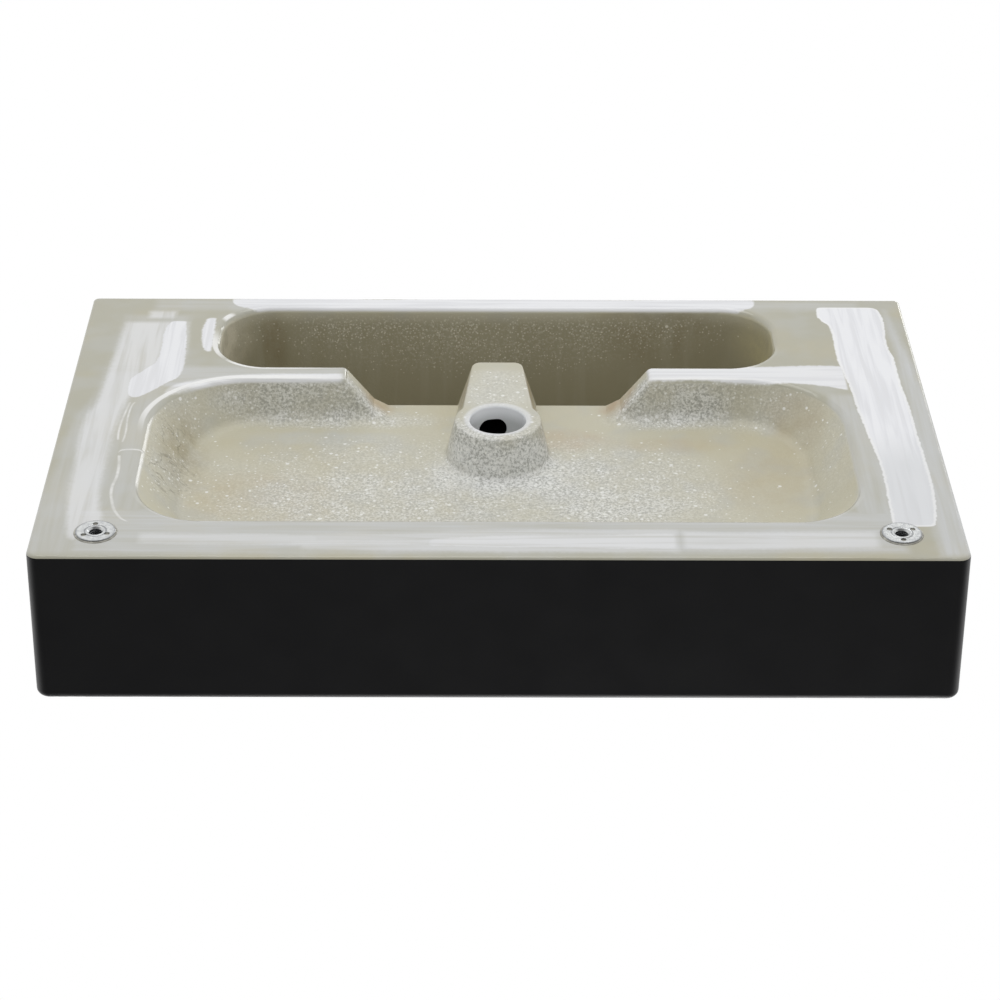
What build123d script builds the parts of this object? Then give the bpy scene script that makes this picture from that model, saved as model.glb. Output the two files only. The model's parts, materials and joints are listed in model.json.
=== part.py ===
"""Console sink ware, bowl up: hollow-railed ceramic basin, its black glaze coat and two bonded leg inserts.

Millimetres. +Z is up, -Y is the front apron and the back face meets the wall. The origin lies
under the middle of the plan, on the plane where the front legs seat.
"""
from build123d import *
import os
from math import atan2, cos, degrees, radians, sin

# Outside of the ware
rim_width = 750.0
rim_depth = 460.0
ware_height = 135.0
wall_draft = 1.5            # the apron and sides stand this much further in at the underside
front_corner_radius = 10.0  # upright corners
back_corner_radius = 5.0
rim_edge_radius = 6.0
underside_edge_radius = 3.0

# Black glaze on the apron, sides, deck and bowl
glaze_thickness = 0.8
glaze_line_height = 2.0     # where the coat stops above the underside
glaze_back_wrap = 10.0      # how far it runs onto the back face

# Wall left round the hollow rails
rail_wall = 11.0
slanted_rail_wall = 15.0    # the same wall measured level, where it leans

# Front pocket of the underside, which is the outside of the bowl
front_rail_width = 58.0     # from the apron to the pocket's mouth
side_rail_width = 75.0
pocket_depth = 39.0
pocket_side_run = 34.0      # how far the side walls lean in over the depth
pocket_front_run = 32.0
pocket_rear_run = 3.0
pocket_front_corner = 60.0
pocket_rear_corner = 80.0
pocket_floor_front_corner = 50.0
pocket_floor_rear_corner = 78.0
pocket_floor_radius = 12.0
lip_radius = 6.0            # rolled edge round both pockets

# Deep pocket behind the bowl, under the tap deck
deep_pocket_width = 498.0
rear_rail_width = 20.0
deep_pocket_span = 114.0    # front to back at the mouth
deep_pocket_side_draft = 6.0
deep_pocket_end_draft = 3.0
deep_pocket_corner = 45.0
deep_pocket_roof_corner = 40.0
deep_pocket_roof_radius = 14.0
deck_thickness = 16.0

# Gap between the two ribs that part the pockets
rib_thickness = 26.0
rib_gap_width = 270.0
rib_end_run = 31.0          # each rib's end leans in this far, down to the bowl
rib_foot_ease = 7.0         # a facet eases each end's foot, this far along the bowl and this high
rib_edge_radius = 4.0       # along each end, and on along the bowl's rear edge

# Bowl
bowl_floor_thickness = 12.0
bowl_fall = 6.0             # from the edge of the floor to the drain
bowl_side_rim = 45.0
bowl_front_rim = 30.0
bowl_rear_draft = 3.0
bowl_rim_corner = 70.0
bowl_floor_corner = 60.0
bowl_floor_radius = 24.0
bowl_rim_edge_radius = 10.0
bowl_fall_margin = 27.0     # level border of the floor, clear of its rounded foot
bowl_fall_flat = 1.0        # half the straight that the fall keeps between its corners at the drain

# Drain
drain_from_front = 235.0
drain_bore_radius = 24.0
drain_seat_radius = 37.0
drain_seat_edge_radius = 2.5
drain_seat_recess = 4.0     # how far the boss stops short of the underside
drain_boss_flare = 8.0
drain_boss_foot_radius = 5.0
drain_boss_foot_sink = 1.0
drain_recess_radius = 34.0
drain_recess_depth = 3.0

# Overflow
overflow_block_front_width = 64.0
overflow_block_rear_width = 43.0
overflow_block_overhang = 15.0  # how far its end stands past the bowl's rear wall
overflow_block_corner = 8.0
overflow_block_flare = 18.0     # degrees that the block's sides lean out
overflow_duct_width = 60.0      # upright duct on the bowl's rear wall
overflow_duct_projection = 24.0
overflow_duct_corner = 8.0
overflow_bore_width = 24.0
overflow_bore_height = 17.0
overflow_bore_corner = 8.0
overflow_bore_below_seat = 13.0
overflow_bore_offset = 4.0
overflow_riser_depth = 12.0
overflow_riser_wall = 12.0
overflow_inlet_radius = 11.0
overflow_inlet_below_rim = 28.0

# Tap hole and wall fixings
tap_hole_radius = 17.5
tap_hole_from_back = 72.0
wall_hole_radius = 7.0
wall_hole_spacing = 380.0
wall_hole_height = 80.0         # above the underside
vent_radius = 4.0
vent_height = 70.0

# Leg inserts: flanged steel nuts bonded into blind sockets
insert_from_side = 53.0
insert_from_front = 39.0
insert_flange_radius = 16.0
insert_flange_thickness = 1.2
insert_flange_edge = 0.3
insert_barrel_radius = 7.5
insert_barrel_length = 24.0
insert_bore_radius = 5.1        # M12 before its thread is cut
insert_chamfer = 1.4
insert_hole_radius = 2.2
insert_hole_circle = 10.8
insert_turn = {"left": 30.0, "right": 84.0}    # degrees, where the first flange hole lies
bond_line = 0.3
bond_bead = 1.5
bond_bead_rise = 0.5
bond_bead_bulge = 50.0          # degrees round the bead to the middle of its curve
socket_clearance = 4.5
socket_air = 4.0
socket_post_wall = 11.0

# Places that follow from the sizes above
half_width = rim_width / 2
front_y = -rim_depth / 2
back_y = rim_depth / 2
underside_z = insert_flange_thickness + bond_line
rim_z = underside_z + ware_height
pocket_roof_z = underside_z + pocket_depth
deep_roof_z = rim_z - deck_thickness
drain_y = front_y + drain_from_front
drain_seat_z = underside_z + drain_seat_recess

pocket_half = half_width - side_rail_width
pocket_front_y = front_y + front_rail_width
deep_rear_y = back_y - rear_rail_width
deep_front_y = deep_rear_y - deep_pocket_span
pocket_rear_y = deep_front_y - rib_thickness

bowl_floor_z = pocket_roof_z + bowl_floor_thickness + bowl_fall
bowl_floor_half = pocket_half - pocket_side_run - bowl_floor_thickness
bowl_floor_front_y = pocket_front_y + pocket_front_run + bowl_floor_thickness
bowl_floor_rear_y = deep_front_y - bowl_floor_thickness
bowl_rim_half = half_width - bowl_side_rim
bowl_rim_front_y = front_y + bowl_front_rim
bowl_rim_rear_y = bowl_floor_rear_y + bowl_rear_draft
drain_floor_z = bowl_floor_z - bowl_fall

boss_root_z = pocket_roof_z + bowl_floor_thickness / 2

cut_over = 10.0             # how far a cutting tool runs past the face that it opens
overlap = 2.0               # how far joined forms of the one casting run into each other
pick_margin = 1.0           # how far past a form its edges are looked for


def outline(half_x, y_front, y_back, r_front, r_back, z):
    """A level rectangle centred on x = 0 whose front and back corners have their own radii."""
    plan = make_face(Polyline(
        (-half_x, y_front), (half_x, y_front), (half_x, y_back), (-half_x, y_back), close=True))
    for radius, corner_y in ((r_front, y_front), (r_back, y_back)):
        if radius:
            plan = fillet([corner for corner in plan.vertices() if abs(corner.Y - corner_y) < 1e-6], radius)
    return Pos(0, 0, z) * plan


def edges_at(shape, z):
    """The edges of a shape that lie level at height z."""
    return [edge for edge in shape.edges() if abs(edge.center().Z - z) < 1e-3
            and edge.bounding_box().size.Z < 1e-3]


def outer_form(inset):
    """The ware's outside as a solid block, with every face but the underside moved in by inset."""
    behind = back_y - inset
    plan = outline(half_width - wall_draft - inset, front_y + wall_draft + inset, behind + cut_over,
                   front_corner_radius - inset, 0, underside_z)
    lean = degrees(atan2(wall_draft, ware_height))
    block = extrude(plan, amount=ware_height - inset, taper=-lean)
    block -= Pos(0, behind + rim_depth / 2, underside_z) * Box(2 * rim_width, rim_depth, 4 * ware_height)
    back_corners = [edge for edge in block.edges() if abs(edge.center().Y - behind) < 1e-3
                    and edge.bounding_box().size.Z > pick_margin]
    block = fillet(back_corners, back_corner_radius - inset)
    block = fillet(edges_at(block, rim_z - inset), rim_edge_radius - inset)
    return fillet(edges_at(block, underside_z), underside_edge_radius)


def bowl_void(grow):
    """The space inside the bowl, with every face moved out by grow."""
    rim = outline(bowl_rim_half + grow, bowl_rim_front_y - grow, bowl_rim_rear_y + grow,
                  bowl_rim_corner + grow, bowl_rim_corner + grow, rim_z)
    foot = outline(bowl_floor_half + grow, bowl_floor_front_y - grow, bowl_floor_rear_y + grow,
                   bowl_floor_corner + grow, bowl_floor_corner + grow, bowl_floor_z - grow)
    void = loft([foot, rim], ruled=True)
    void = fillet(edges_at(void, bowl_floor_z - grow), bowl_floor_radius + grow)
    inner = bowl_fall_margin - grow
    fall_edge = outline(bowl_floor_half - inner, bowl_floor_front_y + inner, bowl_floor_rear_y - inner,
                        bowl_floor_corner - inner, bowl_floor_corner - inner, bowl_floor_z - grow)
    recess = drain_recess_radius + grow
    fall_foot = outline(recess, drain_y - recess, drain_y + recess,
                        recess - bowl_fall_flat, recess - bowl_fall_flat, drain_floor_z - grow)
    void += loft([fall_foot, fall_edge], ruled=True)
    recess_height = drain_recess_depth + cut_over
    return void + Pos(0, drain_y, drain_floor_z - grow - drain_recess_depth + recess_height / 2) * Cylinder(
        recess, recess_height)


def show_form(inset):
    """The block with its bowl, as seen from above: the outside of the glaze, or its inside."""
    form = outer_form(inset) - bowl_void(inset)
    mouth = [edge for edge in edges_at(form, rim_z - inset)
             if abs(edge.center().X) < bowl_rim_half + pick_margin
             and front_y + rim_edge_radius + pick_margin < edge.center().Y < bowl_rim_rear_y + pick_margin]
    return fillet(mouth, bowl_rim_edge_radius - inset)


def front_pocket():
    """What the underside's front pocket takes away."""
    mouth = outline(pocket_half, pocket_front_y, pocket_rear_y,
                    pocket_front_corner, pocket_rear_corner, underside_z)
    roof = outline(pocket_half - pocket_side_run, pocket_front_y + pocket_front_run,
                   pocket_rear_y - pocket_rear_run,
                   pocket_floor_front_corner, pocket_floor_rear_corner, pocket_roof_z)
    void = loft([mouth, roof], ruled=True)
    return fillet(edges_at(void, pocket_roof_z), pocket_floor_radius)


def deep_pocket():
    """What the deep pocket under the tap deck takes away."""
    half = deep_pocket_width / 2
    mouth = outline(half, deep_front_y, deep_rear_y, deep_pocket_corner, deep_pocket_corner, underside_z)
    roof = outline(half - deep_pocket_side_draft, deep_front_y + deep_pocket_end_draft,
                   deep_rear_y - deep_pocket_end_draft,
                   deep_pocket_roof_corner, deep_pocket_roof_corner, deep_roof_z)
    void = loft([mouth, roof], ruled=True)
    return fillet(edges_at(void, deep_roof_z), deep_pocket_roof_radius)


def rib_gap():
    """The gap in the wall between the pockets, with leaning ends."""
    half = rib_gap_width / 2
    lean = rib_end_run / pocket_depth
    below = underside_z - cut_over
    foot_half = half + cut_over * lean
    eased_z = pocket_roof_z - rib_foot_ease
    eased_half = half - rib_end_run + rib_foot_ease * lean
    foot = half - rib_end_run - rib_foot_ease
    section = make_face(Polyline(
        (-foot_half, below), (-eased_half, eased_z), (-foot, pocket_roof_z),
        (foot, pocket_roof_z), (eased_half, eased_z), (foot_half, below), close=True))
    reach = rib_thickness + pocket_rear_run + pocket_floor_radius + 2 * cut_over
    return Pos(0, deep_front_y + cut_over, 0) * extrude(Plane.XZ * section, amount=reach)


def open_pockets(ware):
    """Cuts both pockets and the gap between the ribs, and rolls their edges."""
    ware = ware - front_pocket() - deep_pocket()
    lips = [edge for edge in edges_at(ware, underside_z)
            if abs(edge.center().X) < pocket_half + pick_margin
            and pocket_front_y - pick_margin < edge.center().Y < deep_rear_y + pick_margin]
    ware = fillet(lips, lip_radius)
    ware = ware - rib_gap()
    ends = [face for face in ware.faces() if face.geom_type == GeomType.PLANE
            and abs(face.normal_at().Y) < 1e-4 and abs(face.center().X) < rib_gap_width / 2
            and underside_z + pick_margin < face.center().Z < pocket_roof_z - pick_margin]
    end_edges = [edge for face in ends for edge in face.edges()
                 if edge.bounding_box().size.Z > 1e-3 or edge.center().Z < underside_z + pick_margin]
    bowl_rear_y = deep_front_y + deep_pocket_end_draft
    bowl_edge = [edge for edge in edges_at(ware, pocket_roof_z)
                 if abs(edge.center().X) < rib_gap_width / 2
                 and deep_front_y - pick_margin < edge.center().Y < bowl_rear_y + pick_margin]
    return fillet(end_edges + bowl_edge, rib_edge_radius)


def drain_boss():
    """The flared boss that the waste seats on, with a rounded foot that sinks into the bowl's floor."""
    foot = drain_seat_radius + drain_boss_flare
    skirt = foot + 2 * drain_boss_foot_radius
    section = make_face(Plane.XZ * Polyline(
        (0, drain_seat_z), (drain_seat_radius, drain_seat_z), (foot, pocket_roof_z),
        (skirt, pocket_roof_z + drain_boss_foot_sink), (skirt, boss_root_z), (0, boss_root_z), close=True))
    hollow_corner = [corner for corner in section.vertices() if abs(corner.X - foot) < 1e-6]
    boss = revolve(fillet(hollow_corner, drain_boss_foot_radius), Axis.Z)
    return Pos(0, drain_y, 0) * boss


def overflow_block():
    """The block that carries the overflow's level run, from the boss back past the bowl's rear wall."""
    front, rear = overflow_block_front_width / 2, overflow_block_rear_width / 2
    rear_y = deep_front_y + overflow_block_overhang
    plan = make_face(Polyline(
        (-front, drain_y), (front, drain_y), (rear, rear_y), (-rear, rear_y), close=True))
    rear_corners = [corner for corner in plan.vertices() if corner.Y > rear_y - pick_margin]
    plan = fillet(rear_corners, overflow_block_corner)
    return extrude(Pos(0, 0, drain_seat_z) * plan, amount=boss_root_z - drain_seat_z,
                   taper=-overflow_block_flare)


def overflow_duct():
    """The upright duct on the bowl's rear wall, from the overflow block to the deck."""
    root_y, rear_y = deep_front_y - bowl_floor_thickness / 2, deep_front_y + overflow_duct_projection
    foot_z, top_z = boss_root_z - overlap, deep_roof_z + overlap
    duct = Pos(0, (root_y + rear_y) / 2, (foot_z + top_z) / 2) * Box(
        overflow_duct_width, rear_y - root_y, top_z - foot_z)
    corners = [edge for edge in duct.edges().filter_by(Axis.Z) if edge.center().Y > deep_front_y]
    return fillet(corners, overflow_duct_corner)


def overflow_way():
    """The water's way: an inlet in the bowl's rear wall, a riser, and a level run to the drain bore."""
    section = RectangleRounded(overflow_bore_width, overflow_bore_height, overflow_bore_corner)
    run_z = drain_seat_z + overflow_bore_below_seat + overflow_bore_height / 2
    riser_front_y = deep_front_y + overflow_duct_projection - overflow_riser_wall - overflow_riser_depth
    riser_rear_y = riser_front_y + overflow_riser_depth
    run_plane = Plane(origin=(overflow_bore_offset, drain_y, run_z), x_dir=(1, 0, 0), z_dir=(0, 1, 0))
    run = extrude(run_plane * section, amount=riser_rear_y - drain_y)
    inlet_z = rim_z - overflow_inlet_below_rim
    riser_top = inlet_z + overflow_inlet_radius
    riser = Pos(overflow_bore_offset, (riser_front_y + riser_rear_y) / 2, (run_z + riser_top) / 2) * Box(
        overflow_bore_width, overflow_riser_depth, riser_top - run_z)
    inlet_length = riser_rear_y - bowl_floor_rear_y + cut_over
    inlet = Pos(0, riser_rear_y - inlet_length / 2, inlet_z) * Rot(90, 0, 0) * Cylinder(
        overflow_inlet_radius, inlet_length)
    return run + riser + inlet


def drain_bore():
    """The hole for the waste, from the bowl to the seat."""
    length = bowl_floor_z - drain_seat_z + 2 * cut_over
    return Pos(0, drain_y, drain_seat_z - cut_over + length / 2) * Cylinder(drain_bore_radius, length)


def add_drain(ware):
    """Puts the boss, block and duct on the ware, with a rounded edge round the seat and its mouth."""
    drain = drain_boss() + overflow_block() + overflow_duct() - drain_bore()
    return ware + fillet(edges_at(drain, drain_seat_z), drain_seat_edge_radius)


def tap_hole():
    """The hole in the deck for one tap."""
    length = deck_thickness + 2 * cut_over
    return Pos(0, back_y - tap_hole_from_back, deep_roof_z - cut_over + length / 2) * Cylinder(
        tap_hole_radius, length)


def wall_holes():
    """Two holes in the back for the bolts that carry the rear of the ware."""
    length = rear_rail_width + deep_pocket_end_draft + 2 * cut_over
    hole = Rot(90, 0, 0) * Cylinder(wall_hole_radius, length)
    centre_y, centre_z = back_y + cut_over - length / 2, underside_z + wall_hole_height
    return [Pos(side * wall_hole_spacing / 2, centre_y, centre_z) * hole for side in (-1, 1)]


def rail_hollow():
    """The hollow that casting leaves in the front and side rails, with posts round the insert sockets."""
    low = underside_z + rail_wall
    high = rim_z - rail_wall - bowl_rim_edge_radius / 2
    pocket_run = (low - underside_z) / pocket_depth
    bowl_run = (high - bowl_floor_z) / (rim_z - bowl_floor_z)

    def bend_z(inner, at_floor, at_rim):
        return bowl_floor_z + (inner - at_floor) / (at_rim - at_floor) * (rim_z - bowl_floor_z)

    outer = half_width - wall_draft - rail_wall
    waist = pocket_half - pocket_side_run + slanted_rail_wall
    side = make_face(Polyline(
        (outer, low), (outer, high),
        (bowl_floor_half + (bowl_rim_half - bowl_floor_half) * bowl_run + slanted_rail_wall, high),
        (waist, bend_z(waist - slanted_rail_wall, bowl_floor_half, bowl_rim_half)),
        (waist, pocket_roof_z),
        (pocket_half - pocket_side_run * pocket_run + slanted_rail_wall, low), close=True))
    front_end = front_y + wall_draft + rail_wall
    rear_end = back_y - rail_wall
    right_rail = Pos(0, rear_end, 0) * extrude(Plane.XZ * side, amount=rear_end - front_end)

    waist_y = pocket_front_y + pocket_front_run - slanted_rail_wall
    front = make_face(Polyline(
        (front_end, low), (pocket_front_y + pocket_front_run * pocket_run - slanted_rail_wall, low),
        (waist_y, pocket_roof_z),
        (waist_y, bend_z(waist_y + slanted_rail_wall, bowl_floor_front_y, bowl_rim_front_y)),
        (bowl_floor_front_y + (bowl_rim_front_y - bowl_floor_front_y) * bowl_run - slanted_rail_wall, high),
        (front_end, high), close=True))
    front_rail = Pos(-outer, 0, 0) * extrude(Plane.YZ * front, amount=2 * outer)

    inner = deep_pocket_width / 2 + rail_wall
    rear_low = deep_front_y + rail_wall
    rear_block = Pos((inner + outer) / 2, (rear_low + rear_end) / 2, (low + high) / 2) * Box(
        outer - inner, rear_end - rear_low, high - low)

    hollow = front_rail
    for rail in (right_rail, rear_block):
        hollow = hollow + rail + mirror(rail, about=Plane.YZ)
    post_height = insert_barrel_length + socket_air + socket_post_wall
    for centre_x in insert_places().values():
        hollow -= Pos(centre_x, front_y + insert_from_front, underside_z + post_height / 2) * Cylinder(
            insert_barrel_radius + socket_clearance + socket_post_wall, post_height)
    return hollow


def vents():
    """Small holes in the back that let the rails breathe in the kiln."""
    length = rail_wall + 2 * cut_over
    centre_x = (deep_pocket_width / 2 + half_width) / 2
    hole = Rot(90, 0, 0) * Cylinder(vent_radius, length)
    return [Pos(side * centre_x, back_y + cut_over - length / 2, underside_z + vent_height) * hole
            for side in (-1, 1)]


def insert_places():
    """Where the two leg inserts stand, left and right as the user faces the ware."""
    return {"left": insert_from_side - half_width, "right": half_width - insert_from_side}


def socket(centre_x):
    """The blind hole that an insert's barrel is bonded into."""
    length = insert_barrel_length + socket_air + cut_over
    centre_z = underside_z - cut_over + length / 2
    return Pos(centre_x, front_y + insert_from_front, centre_z) * Cylinder(
        insert_barrel_radius + socket_clearance, length)


def leg_insert(centre_x, turn):
    """A flanged steel nut, its flange flat under the ware and its barrel up in the socket."""
    flange, top = insert_flange_radius, insert_flange_thickness + insert_barrel_length
    edge, mouth = insert_flange_edge, insert_bore_radius + insert_chamfer
    profile = make_face(Plane.XZ * Polyline(
        (mouth, 0), (flange - edge, 0), (flange, edge), (flange, insert_flange_thickness),
        (insert_barrel_radius, insert_flange_thickness), (insert_barrel_radius, top),
        (insert_bore_radius, top), (insert_bore_radius, insert_chamfer), close=True))
    body = revolve(profile, Axis.Z)
    hole = Cylinder(insert_hole_radius, insert_flange_thickness + 2 * cut_over)
    for third in range(3):
        body -= Rot(0, 0, turn + 120 * third) * Pos(insert_hole_circle, 0, 0) * hole
    return Pos(centre_x, front_y + insert_from_front, 0) * body


def insert_resin(centre_x):
    """The resin round the barrel and under the flange, with the bead that squeezed out at its edge."""
    inner, seat, top = insert_barrel_radius, insert_flange_thickness, underside_z + insert_barrel_length
    edge = insert_flange_radius
    bead_start = (edge, seat - bond_bead_rise)
    bead_height = underside_z - bead_start[1]
    bulge = radians(bond_bead_bulge)
    bead_middle = (edge + bond_bead * sin(bulge), underside_z - bead_height * cos(bulge))
    bead_end = (edge + bond_bead, underside_z)
    bead = ThreePointArc(bead_start, bead_middle, bead_end)
    under_flange = Polyline((inner, seat), (edge, seat), bead_start).edges()
    in_socket = Polyline(bead_end, (inner + socket_clearance, underside_z), (inner + socket_clearance, top),
                         (inner, top), (inner, seat)).edges()
    profile = make_face(Plane.XZ * Wire([*under_flange, bead.edge(), *in_socket]))
    return Pos(centre_x, front_y + insert_from_front, 0) * revolve(profile, Axis.Z)


def black_glaze(ware):
    """The glaze coat on all that shows in use, masked off along the underside and on the back."""
    coat = ware - show_form(glaze_thickness)
    below = Pos(0, 0, underside_z + glaze_line_height - ware_height / 2) * Box(
        2 * rim_width, 2 * rim_depth, ware_height)
    back_top_z = rim_z - glaze_back_wrap
    back_mask = Pos(0, back_y, back_top_z - ware_height) * Box(
        2 * (half_width - glaze_back_wrap), 2 * cut_over, 2 * ware_height)
    return coat - below - back_mask


def main():
    os.makedirs("parts", exist_ok=True)
    ware = show_form(0)
    glaze = black_glaze(ware)
    body = add_drain(open_pockets(ware - glaze))
    openings = [drain_bore(), overflow_way(), tap_hole(), *wall_holes()]
    hidden = [rail_hollow(), *vents(), *[socket(centre_x) for centre_x in insert_places().values()]]
    for cut in openings + hidden:
        body -= cut
    for cut in openings:
        glaze -= cut
    parts = {"basin_body": body, "black_glaze": glaze}
    for side, centre_x in insert_places().items():
        parts[f"leg_insert_{side}"] = leg_insert(centre_x, insert_turn[side])
        parts[f"insert_resin_{side}"] = insert_resin(centre_x)
    for name, part in parts.items():
        export_step(part, f"parts/{name}.step")
        print(name, "solids", len(part.solids()), "volume", round(part.volume), "valid", part.is_valid)


if __name__ == "__main__":
    main()
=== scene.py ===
# %% [markdown]
# This scene dresses a console sink ware: a fireclay basin that a photograph shows lying
# upside down, with its bare underside and two bonded leg nuts turned up to the light. The
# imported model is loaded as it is, in the position in which it hangs on a wall, and every
# finish below is placed on it in millimetres.

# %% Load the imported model
import json
import math

import bpy
from mathutils import Matrix, Vector


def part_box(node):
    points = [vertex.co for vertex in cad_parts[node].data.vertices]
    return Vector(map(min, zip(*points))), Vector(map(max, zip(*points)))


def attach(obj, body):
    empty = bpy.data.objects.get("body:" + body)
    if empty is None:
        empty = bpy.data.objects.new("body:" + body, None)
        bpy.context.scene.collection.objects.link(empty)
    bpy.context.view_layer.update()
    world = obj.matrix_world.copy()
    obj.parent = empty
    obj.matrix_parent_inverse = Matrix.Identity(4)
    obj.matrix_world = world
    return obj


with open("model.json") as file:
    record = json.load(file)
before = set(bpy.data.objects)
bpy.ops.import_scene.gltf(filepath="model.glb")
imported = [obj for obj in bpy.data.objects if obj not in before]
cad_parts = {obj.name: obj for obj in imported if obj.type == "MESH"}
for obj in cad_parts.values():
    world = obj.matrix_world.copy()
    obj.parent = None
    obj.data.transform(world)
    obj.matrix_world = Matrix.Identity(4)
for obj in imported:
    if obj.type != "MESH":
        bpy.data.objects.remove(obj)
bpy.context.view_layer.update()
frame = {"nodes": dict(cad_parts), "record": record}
MM = 0.001
underside_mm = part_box("basin_body")[0].z / MM
mounts = {mount["name"]: mount for mount in frame["record"]["mounts"]}
drain_mm = [value / MM for value in mounts["drain_bore"]["pos_m"]]
nut_mm = [value / MM for value in mounts["leg_insert_right"]["pos_m"]]
print("nodes", sorted(frame["nodes"]))
print("underside at", round(underside_mm, 2), "mm, drain at", drain_mm)

# %% [markdown]
# The camera looks up at the underside from in front of and below the ware. It is rolled half
# a turn, so that the picture shows the ware lying on its rim, as the photograph does. Its
# place and lens were found by matching the ware's corners, pockets and drain.

# %% Camera
CAMERA_PLACE_MM = (16.8, -2095.0, -1150.0)
CAMERA_RISE = 30.482        # degrees that the line of sight climbs
CAMERA_TURN = 0.522         # degrees to the left of straight on
CAMERA_ROLL = 180.408
CAMERA_LENS = 100.30        # mm, on a sensor 36 mm wide

scene = bpy.context.scene
camera = bpy.data.objects.new("camera", bpy.data.cameras.new("camera"))
scene.collection.objects.link(camera)
camera.data.sensor_width = 36.0
camera.data.lens = CAMERA_LENS
camera.matrix_world = (
    Matrix.Translation([value * MM for value in CAMERA_PLACE_MM])
    @ Matrix.Rotation(math.radians(CAMERA_TURN), 4, "Z")
    @ Matrix.Rotation(math.radians(90 + CAMERA_RISE), 4, "X")
    @ Matrix.Rotation(math.radians(CAMERA_ROLL), 4, "Z")
)
scene.camera = camera
scene.view_settings.view_transform = "Standard"
print("camera at", [round(value, 3) for value in camera.matrix_world.translation])

# %% [markdown]
# Three small helpers serve every finish. Colours are written as the sRGB hex values that an
# eye would pick from a screen, and one function turns them into the linear values that
# shaders work in. The next adds a node, sets what it needs and links what feeds it. A node
# given as an input stands for its first output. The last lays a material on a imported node.

# %% Colours, nodes and materials
def linear(hex_colour):
    """An sRGB hex colour as linear RGBA."""
    channels = [int(hex_colour[at:at + 2], 16) / 255 for at in (1, 3, 5)]
    return (*[c / 12.92 if c <= 0.04045 else ((c + 0.055) / 1.055) ** 2.4 for c in channels], 1.0)


def add_node(tree, kind, inputs=None, **settings):
    """Adds one node with its settings, and sets or links its inputs by name or number."""
    node = tree.nodes.new(kind)
    for name, value in settings.items():
        setattr(node, name, value)
    for key, value in (inputs or {}).items():
        if isinstance(value, bpy.types.Node):
            value = value.outputs[0]
        if isinstance(value, bpy.types.NodeSocket):
            tree.links.new(value, node.inputs[key])
        else:
            node.inputs[key].default_value = value
    return node


def finish_with(material, *node_names):
    """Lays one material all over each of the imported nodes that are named."""
    for name in node_names:
        slots = frame["nodes"][name].data.materials
        slots.clear()
        slots.append(material)


print("a mid grey is", round(linear("#808080")[0], 3), "linear")

# %% [markdown]
# The studio is a white room. What the camera sees of it is plain white. What lights the ware
# is a plain, even level, and what its gloss mirrors darkens towards the front, because black
# glaze looks black only when it has something dark to mirror.

# %% World
AMBIENT_LEVEL = 0.56
MIRRORED_FRONT = 0.10       # what gloss mirrors straight in front of the ware
MIRRORED_REAR = 1.0

world = bpy.data.worlds.new("studio")
scene.world = world
world.use_nodes = True
sky = world.node_tree
sky.nodes.clear()
rays = add_node(sky, "ShaderNodeLightPath")
direction = add_node(sky, "ShaderNodeTexCoord")
facing = add_node(sky, "ShaderNodeSeparateXYZ", {0: direction.outputs["Generated"]})
mirrored = add_node(sky, "ShaderNodeMapRange", {
    0: facing.outputs["Y"], 1: -0.55, 2: 0.25, 3: MIRRORED_FRONT, 4: MIRRORED_REAR},
    interpolation_type="SMOOTHSTEP")
lighting = add_node(sky, "ShaderNodeMix", {
    0: rays.outputs["Is Glossy Ray"], 2: AMBIENT_LEVEL, 3: mirrored}, data_type="FLOAT")
seen = add_node(sky, "ShaderNodeMath", {
    0: rays.outputs["Is Camera Ray"], 1: rays.outputs["Is Transmission Ray"]}, operation="MAXIMUM")
level = add_node(sky, "ShaderNodeMix", {0: seen, 2: lighting, 3: 1.0}, data_type="FLOAT")
backdrop = add_node(sky, "ShaderNodeBackground", {"Color": (1, 1, 1, 1), "Strength": level})
add_node(sky, "ShaderNodeOutputWorld", {"Surface": backdrop})
print("ambient level", AMBIENT_LEVEL)

# %% [markdown]
# Soft boxes hang above and below the ware. The lower one is the photograph's overhead light,
# because there the ware lies upside down. Each is given by the brightness of its face, and
# its power follows from its size. A small one stands behind, like a window, and draws the
# bright lines along the rolled lips.

# %% Soft boxes
def soft_box(name, place, aim, width, height, brightness):
    """An area lamp whose face has a given brightness, turned towards a point."""
    data = bpy.data.lights.new(name, "AREA")
    data.shape = "RECTANGLE"
    data.size, data.size_y = width, height
    data.energy = brightness * math.pi * width * height
    lamp = bpy.data.objects.new(name, data)
    scene.collection.objects.link(lamp)
    lamp.location = place
    lamp.rotation_euler = (Vector(aim) - Vector(place)).to_track_quat("-Z", "Y").to_euler()
    lamp.visible_camera = False
    print(name, round(data.energy, 1), "W")


soft_box("overhead", (0.10, 0.25, -1.75), (0, 0, 0), 1.5, 1.3, 2.0)
soft_box("window", (-1.05, 2.0, -0.30), (0, 0, 0), 0.6, 0.7, 3.2)
soft_box("top", (-0.35, -0.35, 2.0), (0, 0, 0.1), 1.5, 1.3, 2.4)

# %% [markdown]
# A floor under the ware catches its shadow in views from above. It fades out into the white
# room. From below it isn't there at all: its back is transparent, and it neither blocks nor
# bounces light, because the photograph's camera and light are on that side.

# %% Floor
FLOOR_HALF = 3.0
FLOOR_SOLID = 0.7           # m from the middle out to where the fade starts
FLOOR_CLEAR = 2.7           # and to where nothing of it is left
FLOOR_GAP = 0.0005

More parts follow.
